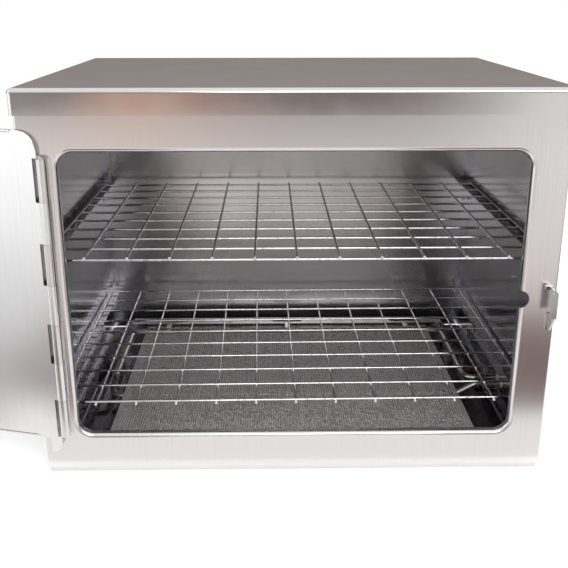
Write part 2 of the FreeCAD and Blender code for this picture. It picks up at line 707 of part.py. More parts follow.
TONGUE_BACK = DOOR_FRONT - size("tongue_gap")
TONGUE_FRONT = TONGUE_BACK - size("tongue_sheet")
HANDLE_FRONT = TONGUE_FRONT - size("handle_out")
SHAFT_START = ("opening_width / 2",
               "-body_depth / 2 - door_gap - door_depth - tongue_gap - tongue_sheet"
               " - handle_out + 4", "base_drop + latch_height")
SHAFT_LENGTH = "door_gap + door_depth + tongue_gap + tongue_sheet + handle_out"


def latch_bushing():
    """Flanged bush through both door sheets."""
    x, z = SHAFT_START[0], SHAFT_START[2]
    front = "-body_depth / 2 - door_gap - door_depth"
    sleeve = rod("BushingSleeve", (x, front, z), "bushing_radius", "door_depth - 0.1", Y)
    flange = rod("BushingFlange", (x, f"{front} - bushing_flange", z), "bushing_radius + 4",
                 "bushing_flange", Y)
    bore = rod("BushingBore", (x, f"{front} - 5", z), "shaft_radius + shaft_clear",
               "door_depth + 10", Y)
    return less("LatchBushing", joined("BushingBody", [sleeve, flange]), bore)


def latch_shaft():
    return together("LatchShaft", [rod("ShaftBar", SHAFT_START, "shaft_radius", SHAFT_LENGTH, Y)])


def shaft_body():
    return bar(size("shaft_radius"), LATCH + Y * (HANDLE_FRONT + 4), LATCH + Y * (FACE + 4.0))


def latch_tongue():
    """Flat tongue, drawn hanging down in its released place."""
    reach, half = size("tongue_reach"), size("tongue_half")
    plate = slab((LATCH.x - half, TONGUE_FRONT, LATCH.z - reach + half),
                 (LATCH.x + half, TONGUE_BACK, LATCH.z))
    nose = LATCH - Z * (reach - half)
    tip = bar(half, nose + Y * TONGUE_FRONT, nose + Y * TONGUE_BACK)
    hub = bar(size("hub_radius") - 1, LATCH + Y * TONGUE_FRONT, LATCH + Y * TONGUE_BACK)
    return one_solid(plate, tip, hub).cut(shaft_body())


def latch_handle():
    """Lever on a round boss, pointing at the hinge while the latch is released."""
    radius, reach = size("hub_radius"), size("lever_reach")
    boss = bar(radius, LATCH + Y * HANDLE_FRONT, LATCH + Y * TONGUE_FRONT)
    front_ring = [edge for edge in boss.Edges
                  if edge.CenterOfMass.y < HANDLE_FRONT + 0.1 and len(edge.Vertexes) == 1]
    boss = boss.makeFillet(2.0, front_ring)
    lever = rounded((LATCH.x - reach, HANDLE_FRONT, LATCH.z - 6.5),
                    (LATCH.x, HANDLE_FRONT + 9, LATCH.z + 6.5), 4.0, X)
    grip_end = [edge for edge in lever.Edges if edge.CenterOfMass.x < LATCH.x - reach + 0.1]
    lever = lever.makeFillet(2.2, grip_end)
    return one_solid(boss, lever).cut(shaft_body())


def latch_nut():
    """Hexagon nut on the inner end of the shaft."""
    corners = [Vector(6.2 * math.cos(math.radians(60 * turn)), 0,
                      6.2 * math.sin(math.radians(60 * turn))) for turn in range(6)]
    outline = Part.Face(Part.makePolygon(corners + corners[:1]))
    nut = outline.extrude(Vector(0, 4.2, 0))
    nut.translate(LATCH + Y * (DOOR_BACK + 0.3))
    return nut.cut(shaft_body())


def strike():
    """Folded keeper: a web standing on the front panel, with a hook turned over the tongue."""
    start = "-body_depth / 2 - strike_depth"
    web = block("StrikeWeb", ("strike_x", start, "strike_base"),
                ("strike_sheet", "strike_depth", "strike_rise"))
    hook = block("StrikeHook", ("strike_x - strike_hook", start, "strike_base + hook_rise"),
                 ("strike_hook + strike_sheet", "strike_sheet", "strike_rise - hook_rise"))
    foot = block("StrikeFoot", ("strike_x - 2.5", "-body_depth / 2 - strike_sheet", "strike_base"),
                 ("2.5 + strike_sheet", "strike_sheet", "hook_rise"))
    ear = block("StrikeEar", ("strike_x - 5.2", "-body_depth / 2 - strike_sheet",
                              "strike_base + strike_rise - 1"),
                ("5.2 + strike_sheet", "strike_sheet", "3"))
    x, y, base = size("strike_x") - 9, FACE - size("strike_depth"), size("strike_base")
    corner = [Vector(x, y - 1, base - 1), Vector(x, FACE - 4, base - 1),
              Vector(x, FACE - 4, base), Vector(x, y, base + size("hook_rise")),
              Vector(x, y - 1, base + size("hook_rise"))]
    bevel = Part.Face(Part.makePolygon(corner + corner[:1])).extrude(X * 18)
    body = joined("StrikeBody", [web, hook, foot, ear])
    return keep(less("LatchStrike", body, shaped("StrikeBevel", bevel)), "latch_strike")


def opened(thing, label):
    """Register a part of the door, drawn closed and swung open with it."""
    thing.Placement = OPEN
    return keep(thing, label)


opened(latch_bushing(), "latch_bushing")
opened(latch_shaft(), "latch_shaft")
keep(shaped("LatchTongue", latch_tongue(), OPEN), "latch_tongue")
keep(shaped("LatchHandle", latch_handle(), OPEN), "latch_handle")
keep(shaped("LatchNut", latch_nut(), OPEN), "latch_nut")
strike()


# ---------------------------------------------------------------- control box

BOX_TOP = size("box_base") + size("box_height")
BOX_BACK = BOX_FRONT + size("box_length")
KNOB = Vector(BOX_OUT, BOX_BACK - size("knob_set"), size("box_base") + size("knob_rise"))
ROCKER = Vector(BOX_OUT, BOX_BACK - size("knob_set"), size("box_base") + 70)
LAMP = Vector(BOX_OUT, BOX_BACK - 86, size("box_base") + 70)
INLET = Vector(SIDE + 17, BOX_BACK, size("box_base") + 42)
ROCKER_HALF = (6.0, 9.5)
INLET_HALF = (11.0, 14.0)


def control_box_cover():
    """Five-sided cover with two screw lips and the openings for its controls."""
    corner, lip = size("box_corner"), size("box_lip")

    def shell(inset):
        solid = slab((SIDE, BOX_FRONT + inset, size("box_base") + inset),
                     (BOX_OUT - inset, BOX_BACK - inset, BOX_TOP - inset))
        edges = [edge for edge in solid.Edges if edge.CenterOfMass.x > SIDE + 1]
        return solid.makeFillet(corner - inset, edges)

    lips = slab((SIDE, BOX_FRONT - lip, size("box_base") + corner),
                (SIDE + THICK, BOX_BACK + lip, BOX_TOP - corner))
    box = one_solid(shell(0), lips).cut(shell(THICK))
    box = box.cut(slab((SIDE - 1, BOX_FRONT + THICK, size("box_base") + THICK),
                       (SIDE + THICK + 1, BOX_BACK - THICK, BOX_TOP - THICK)))
    openings = [
        bar(5.1, KNOB - X * 9, KNOB + X * 9),
        bar(5.1, LAMP - X * 9, LAMP + X * 9),
        slab(ROCKER - Vector(9, ROCKER_HALF[0] + 1.5, ROCKER_HALF[1] + 1.5),
             ROCKER + Vector(9, ROCKER_HALF[0] + 1.5, ROCKER_HALF[1] + 1.5)),
        slab(INLET - Vector(INLET_HALF[0], 9, INLET_HALF[1]),
             INLET + Vector(INLET_HALF[0], 9, INLET_HALF[1])),
    ]
    return box.cut(Part.makeCompound(openings + screw_holes(BOX_SCREWS, (1, 0, 0))))


def thermostat_body():
    """Capillary thermostat with a threaded neck through the cover."""
    case = rounded((KNOB.x - 23, KNOB.y - 17, KNOB.z - 17), (KNOB.x - 5, KNOB.y + 17, KNOB.z + 17),
                   3.0, X)
    neck = bar(5.0, KNOB - X * 5, KNOB + X * 1.5)
    bracket = slab((KNOB.x - 5, KNOB.y - 12, KNOB.z - 21), (KNOB.x - THICK, KNOB.y + 12,
                                                            KNOB.z + 21))
    return one_solid(case, neck, bracket).cut(
        bar(size("knob_shaft") + 0.06, KNOB - X * 16, KNOB + X * 9))


def knob_shaft():
    return bar(size("knob_shaft"), KNOB - X * 15, KNOB + X * 13)


def thermostat_shaft():
    start = ("body_width / 2 + box_depth - 15",
             "-body_depth / 2 + box_start + box_length - knob_set", "box_base + knob_rise")
    return keep(rod("KnobShaft", start, "knob_shaft", "28", X), "thermostat_shaft")


def thermostat_knob():
    """Tapered knob with a raised pointer and a grip ring of flutes."""
    base, tip, tall = 17.0, 15.0, 16.0
    start = KNOB + X * 2.0
    knob = Part.makeCone(base, tip, tall, start, X)
    rim = [edge for edge in knob.Edges if edge.CenterOfMass.x > start.x + tall - 0.1
           and len(edge.Vertexes) == 1]
    knob = knob.makeFillet(2.0, rim)
    flutes = []
    for turn in range(18):
        angle = math.radians(20 * turn + 10)
        middle = start + Vector(0, math.sin(angle), math.cos(angle)) * (base + 0.6)
        flutes.append(bar(1.6, middle + X * 3, middle + X * (tall + 1)))
    pointer = slab((start.x + tall - 1, KNOB.y - 1.1, KNOB.z + 3), (start.x + tall + 0.8,
                                                                  KNOB.y + 1.1, KNOB.z + 13))
    return knob.cut(Part.makeCompound(flutes)).fuse(pointer).cut(knob_shaft())


def thermostat_bulb():
    """Sensing bulb under the lower right ledge, and its capillary to the thermostat."""
    bulb_x = LEDGE_WALL - 5.4
    bulb = bar(3.0, (bulb_x, BULB_PORT.y + 14, BULB_Z), (bulb_x, BULB_PORT.y + 94, BULB_Z))
    outside = SIDE + 6
    capillary = tube(1.0, [(bulb_x, BULB_PORT.y + 15, BULB_Z), (bulb_x, BULB_PORT.y, BULB_PORT.z),
                           (outside, BULB_PORT.y, BULB_PORT.z), (outside, BULB_PORT.y, 98),
                           (SIDE + 16, KNOB.y, 110), (SIDE + 16, KNOB.y, KNOB.z - 17)],
                     [4, 3.5, 6, 6])
    return one_solid(bulb, capillary)


def bulb_clips():
    """Two spring clips that hold the bulb to the ledge's upright leg."""
    bulb_x, z = LEDGE_WALL - 5.4, BULB_Z
    clips = []
    for along in (50, 80):
        y = BULB_PORT.y + along
        ring = bar(3.8, (bulb_x, y - 3, z), (bulb_x, y + 3, z))
        foot = slab((bulb_x, y - 3, z - 3.8), (LEDGE_WALL, y + 3, z - 3.0))
        plate = slab((LEDGE_WALL - 0.8, y - 3, z - 3.8), (LEDGE_WALL, y + 3, z + 5))
        clip = one_solid(ring, foot, plate)
        clips.append(clip.cut(bar(3.02, (bulb_x, y - 4, z), (bulb_x, y + 4, z))))
    return Part.makeCompound(clips)


def switch_housing():
    """Snap-in housing of the power switch, open at the front for its rocker."""
    half_y, half_z = ROCKER_HALF
    wall = 1.5
    case = slab(ROCKER - Vector(18, half_y + wall, half_z + wall),
                ROCKER + Vector(0, half_y + wall, half_z + wall))
    rim = rounded(ROCKER - Vector(0, half_y + 3.5, half_z + 3.5),
                  ROCKER + Vector(1.6, half_y + 3.5, half_z + 3.5), 1.5, X)
    well = slab(ROCKER - Vector(13, half_y, half_z), ROCKER + Vector(5, half_y, half_z))
    pivot = bar(1.26, ROCKER - Vector(5, half_y + 1, 0), ROCKER - Vector(5, -half_y - 1, 0))
    return one_solid(case, rim).cut(well).cut(pivot)


def switch_rocker():
    """Rocker with a pivot pin, its upper half pressed in while it is off."""
    half_y, half_z = ROCKER_HALF[0] - 0.3, ROCKER_HALF[1] - 1.4
    deep = 5.0
    outline = [Vector(-deep, -half_y, -half_z), Vector(0.6, -half_y, -half_z),
               Vector(-0.6, -half_y, 0), Vector(0.6, -half_y, half_z),
               Vector(-deep, -half_y, half_z)]
    cap = Part.Face(Part.makePolygon(outline + outline[:1])).extrude(Vector(0, 2 * half_y, 0))
    root = slab((-deep - 4, -half_y, -2.5), (-deep + 1, half_y, 2.5))
    pin = bar(1.2, (-deep, -half_y - 0.9, 0), (-deep, half_y + 0.9, 0))
    rocker = one_solid(cap, root, pin)
    rocker.rotate(Vector(-deep, 0, 0), Y, -8)
    rocker.translate(ROCKER)
    return rocker


def pilot_lamp():
    """Round lens on a threaded body."""
    body = bar(5.0, LAMP - X * 16, LAMP)
    bezel = bar(7.0, LAMP, LAMP + X * 1.5)
    dome = Part.makeSphere(7.0, LAMP - X * 2.2).common(bar(5.4, LAMP + X * 1, LAMP + X * 9))
    return one_solid(body, bezel, dome)


def power_inlet():
    """Recessed three-pin inlet in the back of the box."""
    half_x, half_z = INLET_HALF[0] - CLEARANCE, INLET_HALF[1] - CLEARANCE
    case = slab(INLET - Vector(half_x, 16, half_z), INLET + Vector(half_x, 0, half_z))
    flange = rounded(INLET - Vector(13, 0, 20), INLET + Vector(13, 2.5, 20), 3.0, Y)
    well = slab(INLET - Vector(half_x - 2, 13, half_z - 2), INLET + Vector(half_x - 2, 5,
                                                                         half_z - 2))
    pins = [slab(INLET + Vector(x - 1, -14, z - 2), INLET + Vector(x + 1, -2, z + 2))
            for x, z in ((0, 0), (-4, 6), (-4, -6))]
    return one_solid(case, flange).cut(well).multiFuse(pins)


TERMINALS = Vector(SIDE + 4, BOX_FRONT + 10, size("terminal_rise"))


def terminal_block():
    """Four-way ceramic terminal block beside the element's ends."""
    low = TERMINALS
    base = slab(low, low + Vector(14, 44, 18))
    wells = [bar(2.6, low + Vector(8, 5.5 + 11 * way, 9), low + Vector(18, 5.5 + 11 * way, 9))
             for way in range(4)]
    stand = [slab(low + Vector(-4, y, 2), low + Vector(1, y + 4, 16)) for y in (3, 37)]
    return one_solid(base.cut(Part.makeCompound(wells)), *stand)


def wiring():
    """Insulated leads from the element to the terminal block, and on to lamp and switch."""
    radius = 1.3
    way_y = [TERMINALS.y + 5.5 + 11 * way for way in range(4)]
    x, under, over = TERMINALS.x + 8, TERMINALS.z, TERMINALS.z + 18
    leads = []
    for port, y in zip(reversed(ELEMENT_PORTS), way_y):
        end = port + X * 16
        leads.append(tube(radius, [end, end + X * 9, (end.x + 9, y, under - 10), (x, y, under)],
                          [2.5, 4]))
    for goal, depth, y in ((LAMP, 16, way_y[2]), (ROCKER, 18, way_y[3])):
        leads.append(tube(radius, [(x, y, over), (x, y, over + 8), goal - X * (depth + 8),
                                   goal - X * depth], [3, 2.5]))
    return Part.makeCompound([lead.cut(terminal_block()) for lead in leads])


keep(shaped("ControlBoxCover", control_box_cover()), "control_box_cover")
keep(shaped("BoxScrews", Part.makeCompound([pan_screw(at, (-1, 0, 0), 5.0)
                                            for at in BOX_SCREWS])), "control_box_screws")
keep(shaped("ThermostatBody", thermostat_body()), "thermostat_body")
keep(shaped("ThermostatBulb", thermostat_bulb()), "thermostat_bulb")
keep(shaped("BulbClips", bulb_clips()), "bulb_clips")
thermostat_shaft()
keep(shaped("ThermostatKnob", thermostat_knob()), "thermostat_knob")
keep(shaped("SwitchHousing", switch_housing()), "switch_housing")
keep(shaped("SwitchRocker", switch_rocker()), "switch_rocker")
keep(shaped("PilotLamp", pilot_lamp()), "pilot_lamp")
keep(shaped("PowerInlet", power_inlet()), "power_inlet")
keep(shaped("TerminalBlock", terminal_block()), "terminal_block")
keep(shaped("Wiring", wiring()), "wiring")


# ---------------------------------------------------------------- check and write

doc.recompute()
for thing in doc.Objects:
    if "Invalid" in thing.State or "Error" in thing.State:
        raise RuntimeError(f"{thing.Label}: {thing.State}")
os.makedirs("parts", exist_ok=True)
for piece in pieces:
    shape = piece.Shape
    if shape.isNull() or not shape.isValid() or not shape.Solids:
        raise RuntimeError(f"{piece.Label}: bad shape")
    shape.exportStep(os.path.join("parts", piece.Label + ".step"))
    print(f"{piece.Label}: {len(shape.Solids)} solid(s), {shape.Volume / 1000:.2f} cm3")
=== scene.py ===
import json
import math

import bmesh
import bpy
import numpy as np
from mathutils import Matrix, Vector


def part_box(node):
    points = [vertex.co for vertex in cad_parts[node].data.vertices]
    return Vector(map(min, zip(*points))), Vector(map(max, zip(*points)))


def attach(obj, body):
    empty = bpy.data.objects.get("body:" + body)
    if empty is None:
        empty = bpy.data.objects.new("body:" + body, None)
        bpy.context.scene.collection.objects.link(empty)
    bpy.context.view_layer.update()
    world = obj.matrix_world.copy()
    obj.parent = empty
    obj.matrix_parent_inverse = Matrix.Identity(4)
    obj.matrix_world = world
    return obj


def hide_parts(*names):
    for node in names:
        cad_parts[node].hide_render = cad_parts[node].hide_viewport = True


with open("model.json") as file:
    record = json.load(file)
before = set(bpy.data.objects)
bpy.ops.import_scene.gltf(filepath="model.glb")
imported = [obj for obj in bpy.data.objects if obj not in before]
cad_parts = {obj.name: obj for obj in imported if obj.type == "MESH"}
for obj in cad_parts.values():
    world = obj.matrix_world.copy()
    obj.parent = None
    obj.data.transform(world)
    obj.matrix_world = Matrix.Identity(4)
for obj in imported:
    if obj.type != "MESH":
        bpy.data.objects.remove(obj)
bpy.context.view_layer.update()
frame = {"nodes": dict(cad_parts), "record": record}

# Hot towel cabinet: looks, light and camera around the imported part. Metres throughout.

NODES = frame["nodes"]
BODIES = frame["record"]["behaviour"]["bodies"]
BODY_OF = {node: body for body, members in BODIES.items() for node in members}
SLOT_OF = {part["node"]: part["material_slot"] for part in frame["record"]["subparts"]}


# ---------------------------------------------------------------- materials

class Graph:
    """A small helper that adds and joins the nodes of one material."""

    def __init__(self, name):
        self.material = bpy.data.materials.new(name)
        self.material.use_nodes = True
        self.tree = self.material.node_tree
        self.shader = self.tree.nodes["Principled BSDF"]
        self.place = self.add("ShaderNodeTexCoord").outputs["Object"]

    def add(self, kind, **settings):
        node = self.tree.nodes.new(kind)
        for name, value in settings.items():
            setattr(node, name, value)
        return node

    def link(self, start, end):
        self.tree.links.new(start, end)

    def stretched(self, scale):
        """The object's own coordinates, scaled along each axis."""
        mapping = self.add("ShaderNodeMapping")
        mapping.inputs["Scale"].default_value = scale
        self.link(self.place, mapping.inputs["Vector"])
        return mapping.outputs["Vector"]

    def noise(self, vector, scale, detail=3.0, rough=0.55):
        node = self.add("ShaderNodeTexNoise")
        node.inputs["Scale"].default_value = scale
        node.inputs["Detail"].default_value = detail
        node.inputs["Roughness"].default_value = rough
        self.link(vector, node.inputs["Vector"])
        return node.outputs["Fac"]

    def between(self, value, low, high, start=0.35, end=0.65):
        """A number that runs from low to high as the value runs from start to end."""
        node = self.add("ShaderNodeMapRange")
        node.inputs["From Min"].default_value = start
        node.inputs["From Max"].default_value = end
        node.inputs["To Min"].default_value = low
        node.inputs["To Max"].default_value = high
        self.link(value, node.inputs["Value"])
        return node.outputs["Result"]

    def blend(self, factor, first, second):
        """A colour between two others; each is a colour or a socket."""
        node = self.add("ShaderNodeMix", data_type="RGBA")
        self.link(factor, node.inputs["Factor"])
        for name, value in (("A", first), ("B", second)):
            socket = next(s for s in node.inputs if s.name == name and s.type == "RGBA")
            if isinstance(value, bpy.types.NodeSocket):
                self.link(value, socket)
            else:
                socket.default_value = (*value, 1.0)
        return next(s for s in node.outputs if s.type == "RGBA")

    def mixed(self, factor, first, second):
        """A number between two sockets or numbers."""
        node = self.add("ShaderNodeMix", data_type="FLOAT")
        if isinstance(factor, bpy.types.NodeSocket):
            self.link(factor, node.inputs[0])
        else:
            node.inputs[0].default_value = factor
        for index, value in ((2, first), (3, second)):
            if isinstance(value, bpy.types.NodeSocket):
                self.link(value, node.inputs[index])
            else:
                node.inputs[index].default_value = value
        return node.outputs[0]

    def bump(self, height, distance, strength=1.0):
        node = self.add("ShaderNodeBump")
        node.inputs["Strength"].default_value = strength
        node.inputs["Distance"].default_value = distance
        self.link(height, node.inputs["Height"])
        self.link(node.outputs["Normal"], self.shader.inputs["Normal"])

    def metal(self):
        self.shader.inputs["Metallic"].default_value = 1.0


# Noise scale along X, Y and Z of the upright scratches in satin sheet
SCRATCHES = (700.0, 700.0, 9.0)


def darker(colour, share):
    return [value * share for value in colour]


def facing(graph, axis, limit, above=True):
    """1 where the object's own coordinate on an axis is past a limit."""
    split = graph.add("ShaderNodeSeparateXYZ")
    graph.link(graph.place, split.inputs["Vector"])
    step = graph.add("ShaderNodeMath", operation="GREATER_THAN" if above else "LESS_THAN")
    graph.link(split.outputs[axis], step.inputs[0])
    step.inputs[1].default_value = limit
    return step.outputs[0]


def brushed_steel(name, light, dark, rough):
    """Satin sheet: faint fine upright scratches, soft clouds and a few smears."""
    graph = Graph(name)
    graph.metal()
    scratches = graph.noise(graph.stretched(SCRATCHES), 1.0, 3.0, 0.5)
    clouds = graph.noise(graph.place, 4.0, 2.0)
    smears = graph.noise(graph.place, 23.0, 3.0)
    colour = graph.blend(graph.between(clouds, 0.0, 1.0), light, dark)
    colour = graph.blend(graph.between(scratches, 0.0, 0.06, 0.3, 0.7), colour,
                         darker(light, 0.6))
    graph.link(colour, graph.shader.inputs["Base Color"])
    graph.link(graph.mixed(0.5, graph.between(scratches, rough - 0.02, rough + 0.02, 0.3, 0.7),
                           graph.between(smears, rough - 0.03, rough + 0.04)),
               graph.shader.inputs["Roughness"])
    graph.bump(scratches, 0.00001, 0.05)
    return graph.material


def mirror_steel(name, light, dark, rough):
    """Bright rolled sheet with faint smears and rolling lines."""
    graph = Graph(name)
    graph.metal()
    smears = graph.noise(graph.stretched((7.0, 7.0, 3.0)), 2.0, 3.0)
    lines = graph.noise(graph.stretched((400.0, 400.0, 5.0)), 1.0, 2.0)
    colour = graph.blend(graph.between(smears, 0.0, 1.0), light, dark)
    graph.link(colour, graph.shader.inputs["Base Color"])
    graph.link(graph.mixed(0.3, graph.between(smears, rough * 0.7, rough * 1.4),
                           graph.between(lines, rough * 0.6, rough * 1.8)),
               graph.shader.inputs["Roughness"])
    graph.bump(lines, 0.00001, 0.05)
    return graph.material


def two_sided(name, axis, limit, inner_is_above, outer, inner, rough_out, rough_in):
    """Panel that is satin outside and bright rolled inside, split at a plane in the sheet; the
    base pan's very dark inside colour is painted shade instead.
    """
    graph = Graph(name)
    graph.metal()
    inside = facing(graph, axis, limit, inner_is_above)
    scratches = graph.noise(graph.stretched(SCRATCHES), 1.0, 3.0, 0.5)
    clouds = graph.noise(graph.place, 5.0, 2.0)
    out_colour = graph.blend(graph.between(scratches, 0.0, 0.06, 0.3, 0.7), outer,
                             darker(outer, 0.6))
    in_colour = graph.blend(graph.between(clouds, 0.0, 1.0), inner,
                            darker(inner, 0.86))
    graph.link(graph.blend(inside, out_colour, in_colour), graph.shader.inputs["Base Color"])
    graph.link(graph.mixed(inside, graph.between(scratches, rough_out - 0.02, rough_out + 0.02,
                                                 0.3, 0.7),
                           graph.between(clouds, rough_in * 0.8, rough_in * 1.3)),
               graph.shader.inputs["Roughness"])
    graph.bump(graph.mixed(inside, scratches, graph.between(clouds, 0.45, 0.55)), 0.00001, 0.05)
    return graph.material


def plated_wire(name, colour, rough):
    """Bright plated wire with small dull spots."""
    graph = Graph(name)
    graph.metal()
    spots = graph.noise(graph.place, 260.0, 3.0)
    graph.link(graph.blend(graph.between(spots, 0.0, 1.0, 0.5, 0.75), colour,
                           darker(colour, 0.6)), graph.shader.inputs["Base Color"])
    graph.link(graph.between(spots, rough, rough * 2.2, 0.45, 0.7),
               graph.shader.inputs["Roughness"])
    graph.bump(spots, 0.00004, 0.3)
    return graph.material


def heated_rod(name):
    """Element sheath: grey steel with straw and violet heat tints along its length."""
    graph = Graph(name)
    graph.metal()
    bands = graph.noise(graph.stretched((9.0, 9.0, 30.0)), 1.5, 2.0)
    colour = graph.blend(graph.between(bands, 0.0, 1.0, 0.3, 0.5), (0.60, 0.59, 0.59),
                         (0.58, 0.53, 0.46))
    colour = graph.blend(graph.between(bands, 0.0, 0.6, 0.52, 0.7), colour, (0.42, 0.40, 0.44))
    graph.link(colour, graph.shader.inputs["Base Color"])
    grit = graph.noise(graph.place, 900.0, 3.0)
    graph.link(graph.between(grit, 0.16, 0.34), graph.shader.inputs["Roughness"])
    graph.bump(grit, 0.00004, 0.3)
    return graph.material


def moulded(name, colour, rough, texture, coat=0.0):
    """Moulded plastic or ceramic with a fine spark texture."""
    graph = Graph(name)
    grit = graph.noise(graph.place, texture, 3.0)
    clouds = graph.noise(graph.place, 40.0, 2.0)
    graph.link(graph.blend(graph.between(clouds, 0.0, 1.0), colour,
                           darker(colour, 0.82)), graph.shader.inputs["Base Color"])
    graph.link(graph.between(grit, rough - 0.06, rough + 0.08), graph.shader.inputs["Roughness"])
    graph.shader.inputs["Coat Weight"].default_value = coat
    graph.bump(grit, 0.00008, 0.4)
    return graph.material


def lamp_lens(name):
    """Red translucent lens with a fine moulded texture."""
    material = moulded(name, (0.55, 0.03, 0.02), 0.16, 700.0, 0.6)
    shader = material.node_tree.nodes["Principled BSDF"]
    shader.inputs["Subsurface Weight"].default_value = 0.25
    shader.inputs["Subsurface Radius"].default_value = (0.004, 0.0008, 0.0004)
    return material


def braid(name):
    """Glass-braid sleeving: two sets of fine crossing threads."""
    graph = Graph(name)
    waves = []
    for turn in (0.7, -0.7):
        mapping = graph.add("ShaderNodeMapping")
        mapping.inputs["Rotation"].default_value = (turn, turn, turn)
        graph.link(graph.place, mapping.inputs["Vector"])
        wave = graph.add("ShaderNodeTexWave")
        wave.inputs["Scale"].default_value = 520.0
        graph.link(mapping.outputs["Vector"], wave.inputs["Vector"])
        waves.append(wave.outputs["Fac"])
    threads = graph.mixed(0.5, *waves)
    graph.link(graph.blend(threads, (0.55, 0.53, 0.48), (0.80, 0.79, 0.75)),
               graph.shader.inputs["Base Color"])
    graph.shader.inputs["Roughness"].default_value = 0.7
    graph.bump(threads, 0.0001, 0.6)
    return graph.material


PANEL = (0.76, 0.745, 0.745)
OUTSIDE = (0.67, 0.66, 0.665)
INSIDE = (0.48, 0.48, 0.505)
side_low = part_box("left_side_panel")[0]
right_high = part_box("right_side_panel")[1]
front_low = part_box("front_panel")[0]
back_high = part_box("back_panel")[1]
HALF_SHEET = 0.0006

FINISHES = {
    "panel_steel": brushed_steel("panel_steel", PANEL, (0.73, 0.715, 0.715), 0.22),
    "door_steel": brushed_steel("door_steel", (0.84, 0.835, 0.835), (0.81, 0.805, 0.81), 0.24),
    "bracket_steel": mirror_steel("bracket_steel", (0.50, 0.49, 0.50), (0.38, 0.37, 0.39), 0.14),
    "hinge_steel": brushed_steel("hinge_steel", (0.78, 0.77, 0.76), (0.70, 0.68, 0.68), 0.22),
    "shelf_wire": plated_wire("shelf_wire", (0.76, 0.75, 0.76), 0.07),
    "woven_mesh": plated_wire("woven_mesh", (0.94, 0.93, 0.925), 0.52),
    "element_sheath": heated_rod("element_sheath"),
    "fastener_steel": plated_wire("fastener_steel", (0.70, 0.70, 0.71), 0.20),
    "bush_brass": plated_wire("bush_brass", (0.74, 0.54, 0.24), 0.24),
    "ceramic": moulded("ceramic", (0.80, 0.78, 0.72), 0.24, 300.0, 0.5),
    "handle_plastic": moulded("handle_plastic", (0.022, 0.022, 0.023), 0.42, 1500.0),
    "control_plastic": moulded("control_plastic", (0.028, 0.028, 0.03), 0.46, 1800.0),
    "rocker_plastic": moulded("rocker_plastic", (0.03, 0.03, 0.03), 0.24, 600.0, 0.3),
    "zinc_case": plated_wire("zinc_case", (0.58, 0.59, 0.61), 0.32),
    "copper_bulb": plated_wire("copper_bulb", (0.72, 0.40, 0.26), 0.26),
    "lamp_lens": lamp_lens("lamp_lens"),
    "lead_sleeve": braid("lead_sleeve"),
}
OWN_FINISHES = {
    "top_cover": brushed_steel("lid_steel", (0.74, 0.725, 0.72), (0.71, 0.69, 0.685), 0.12),
    "left_side_panel": two_sided("left_panel_steel", "X", side_low.x + HALF_SHEET, True,
                                 OUTSIDE, INSIDE, 0.22, 0.16),
    "right_side_panel": two_sided("right_panel_steel", "X", right_high.x - HALF_SHEET, False,
                                  OUTSIDE, INSIDE, 0.22, 0.16),
    "back_panel": two_sided("back_panel_steel", "Y", back_high.y - HALF_SHEET, False,
                            OUTSIDE, (0.54, 0.53, 0.535), 0.22, 0.22),
    "front_panel": two_sided("front_panel_steel", "Y", front_low.y + 2 * HALF_SHEET + 0.0001,
                             True, PANEL, PANEL, 0.20, 0.22),
    # Base pan: its very dark inside colour is painted shade, darkening the deep gutter where the
    # walls throw shade.
    "base_pan": two_sided("pan_steel_painted_shade_inside", "Y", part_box("base_pan")[0].y + HALF_SHEET, True,
                          PANEL, (0.14, 0.135, 0.145), 0.30, 0.22),
}
for hand in ("left", "right"):
    OWN_FINISHES[hand + "_floor_rail"] = mirror_steel(hand + "_rail_steel", (0.34, 0.33, 0.345),
                                                      (0.25, 0.24, 0.26), 0.10)


def dress(piece, material):
    """Put one material on every face of a piece."""
    piece.data.materials.clear()
    piece.data.materials.append(material)


for node_name, node in NODES.items():
    dress(node, OWN_FINISHES.get(node_name, FINISHES[SLOT_OF[node_name]]))


# ---------------------------------------------------------------- helpers for the pieces

def piece_from(name, points, faces, like, smooth=True, rides_with=None):
    """A piece from points and faces with a CAD node's finish, on its body or another's."""
    mesh = bpy.data.meshes.new(name)
    mesh.from_pydata([tuple(point) for point in points], [], faces)
    mesh.validate()
    mesh.polygons.foreach_set("use_smooth", [smooth] * len(mesh.polygons))
    piece = bpy.data.objects.new(name, mesh)
    bpy.context.scene.collection.objects.link(piece)
    dress(piece, FINISHES[SLOT_OF[like]])
    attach(piece, BODY_OF[rides_with or like])
    return piece


# ---------------------------------------------------------------- woven floor

def woven_floor():
    """Plain weave of flattened wires that fills the floor mesh's plate."""
    low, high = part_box("floor_mesh")
    pitch, width = 0.0024, 0.0014
    middle = (low.z + high.z) / 2
    rise = (high.z - low.z) / 4
    columns = int((high.x - low.x) / pitch)
    rows = int((high.y - low.y) / pitch)
    xs = np.linspace(low.x + width / 2, high.x - width / 2, columns)
    ys = np.linspace(low.y + width / 2, high.y - width / 2, rows)
    points, faces = [], []

    def strand(line, fixed, lengthwise, phase):
        first = len(points)
        for index, along in enumerate(line):
            z = middle + (rise if (index + phase) % 2 == 0 else -rise)
            for aside, up in ((-width / 2, 0), (0, rise), (width / 2, 0), (0, -rise)):
                place = (along, fixed + aside) if lengthwise else (fixed + aside, along)
                points.append((*place, z + up))
            if index:
                ring = first + 4 * index
                for corner in range(4):
                    after = (corner + 1) % 4
                    faces.append((ring - 4 + corner, ring - 4 + after, ring + after,
                                  ring + corner))

    for row, y in enumerate(ys):
        strand(xs, y, True, row)
    piece = piece_from("woven_floor_weft", points, faces, "floor_mesh", smooth=False)
    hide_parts("floor_mesh")
    points.clear()
    faces.clear()
    for column, x in enumerate(xs):
        strand(ys, x, False, column + 1)
    piece_from("woven_floor_warp", points, faces, "floor_mesh", smooth=False)


woven_floor()


# ---------------------------------------------------------------- shelf welds

